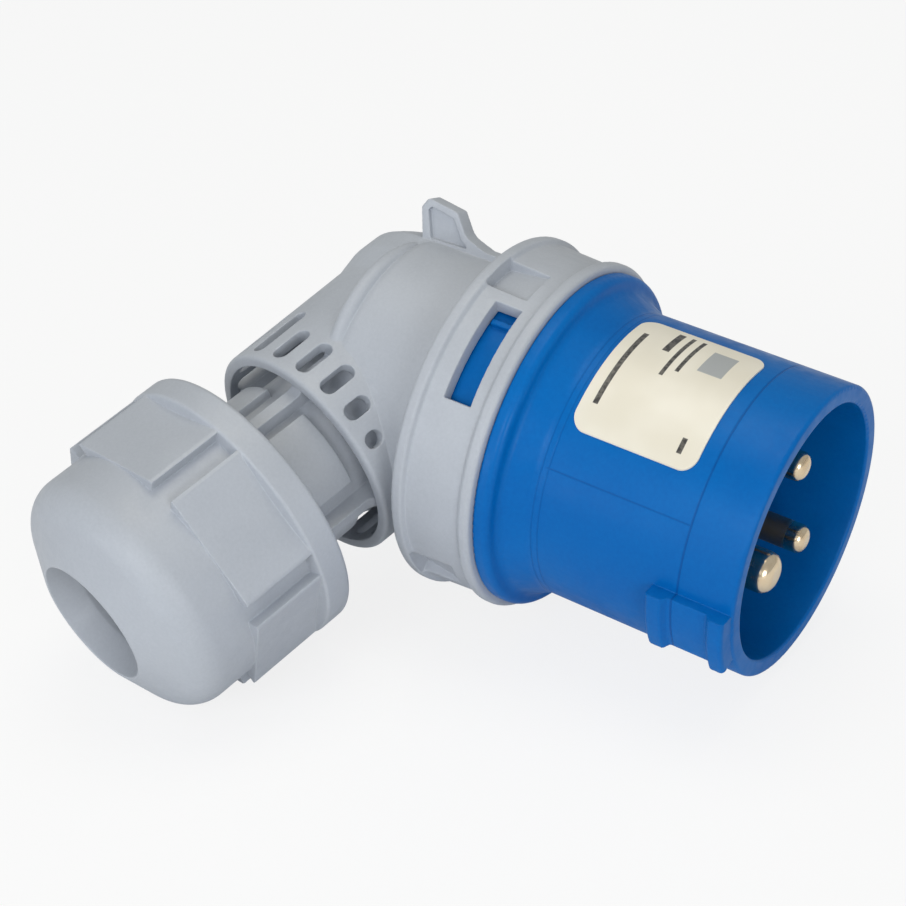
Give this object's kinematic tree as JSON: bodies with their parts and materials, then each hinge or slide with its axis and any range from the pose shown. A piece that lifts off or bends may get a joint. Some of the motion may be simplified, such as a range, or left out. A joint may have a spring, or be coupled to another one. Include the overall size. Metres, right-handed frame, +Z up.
{
  "type": "angled plug",
  "caption": "Angled industrial plug: blue shrouded pins held in a grey elbow housing, with a screwed cable gland on a skirted neck.",
  "frame": {"origin": "under the middle of the whole plug's box, on the surface that it lies on", "axes": "+Z up; +X along the plug axis seen from above, towards the mouth; the cable gland points to -Y"},
  "size_m": [0.1174, 0.103, 0.068],
  "materials": {
    "grey_plastic": "fine moulded grain, satin",
    "blue_plastic": "smooth moulded, half gloss",
    "carrier_plastic": "moulded, satin",
    "nickel_plate": "bright nickel plate on brass",
    "zinc_steel": "zinc plated",
    "black_rubber": "matt",
    "dark_plastic": "moulded, satin",
    "label_film": "printed film"
  },
  "bodies": {
    "housing": {"elbow_housing": "grey_plastic", "shroud_insert": "blue_plastic", "contact_carrier": "carrier_plastic", "earth_pin": "nickel_plate", "earth_terminal_screw": "zinc_steel", "earth_clamp_plate": "zinc_steel", "line_pin": "nickel_plate", "line_terminal_screw": "zinc_steel", "line_clamp_plate": "zinc_steel", "neutral_pin": "nickel_plate", "neutral_terminal_screw": "zinc_steel", "neutral_clamp_plate": "zinc_steel", "carrier_screw_1": "zinc_steel", "carrier_screw_2": "zinc_steel", "carrier_screw_3": "zinc_steel", "flange_seal": "black_rubber", "gland_seal": "black_rubber", "neck_ring": "black_rubber", "rating_label": "label_film"},
    "clamp": {"clamping_cage": "dark_plastic", "thrust_washer": "dark_plastic"},
    "nut": {"gland_nut": "grey_plastic"}
  },
  "joints": [
    {"name": "clamp_slide", "type": "slide", "parent": "housing", "child": "clamp", "axis": [-0.2227, -0.9436, -0.2451], "range_m": [0, 0.006]},
    {"name": "nut_turn", "type": "hinge", "parent": "clamp", "child": "nut", "pos_m": [-0.03049, -0.015, 0.02805], "axis": [-0.2227, -0.9436, -0.2451], "range_deg": [0, 720]}
  ],
  "couplings": [
    {"joint": "nut_turn", "follows": "clamp_slide", "rad_per_m": 2094.4}
  ]
}
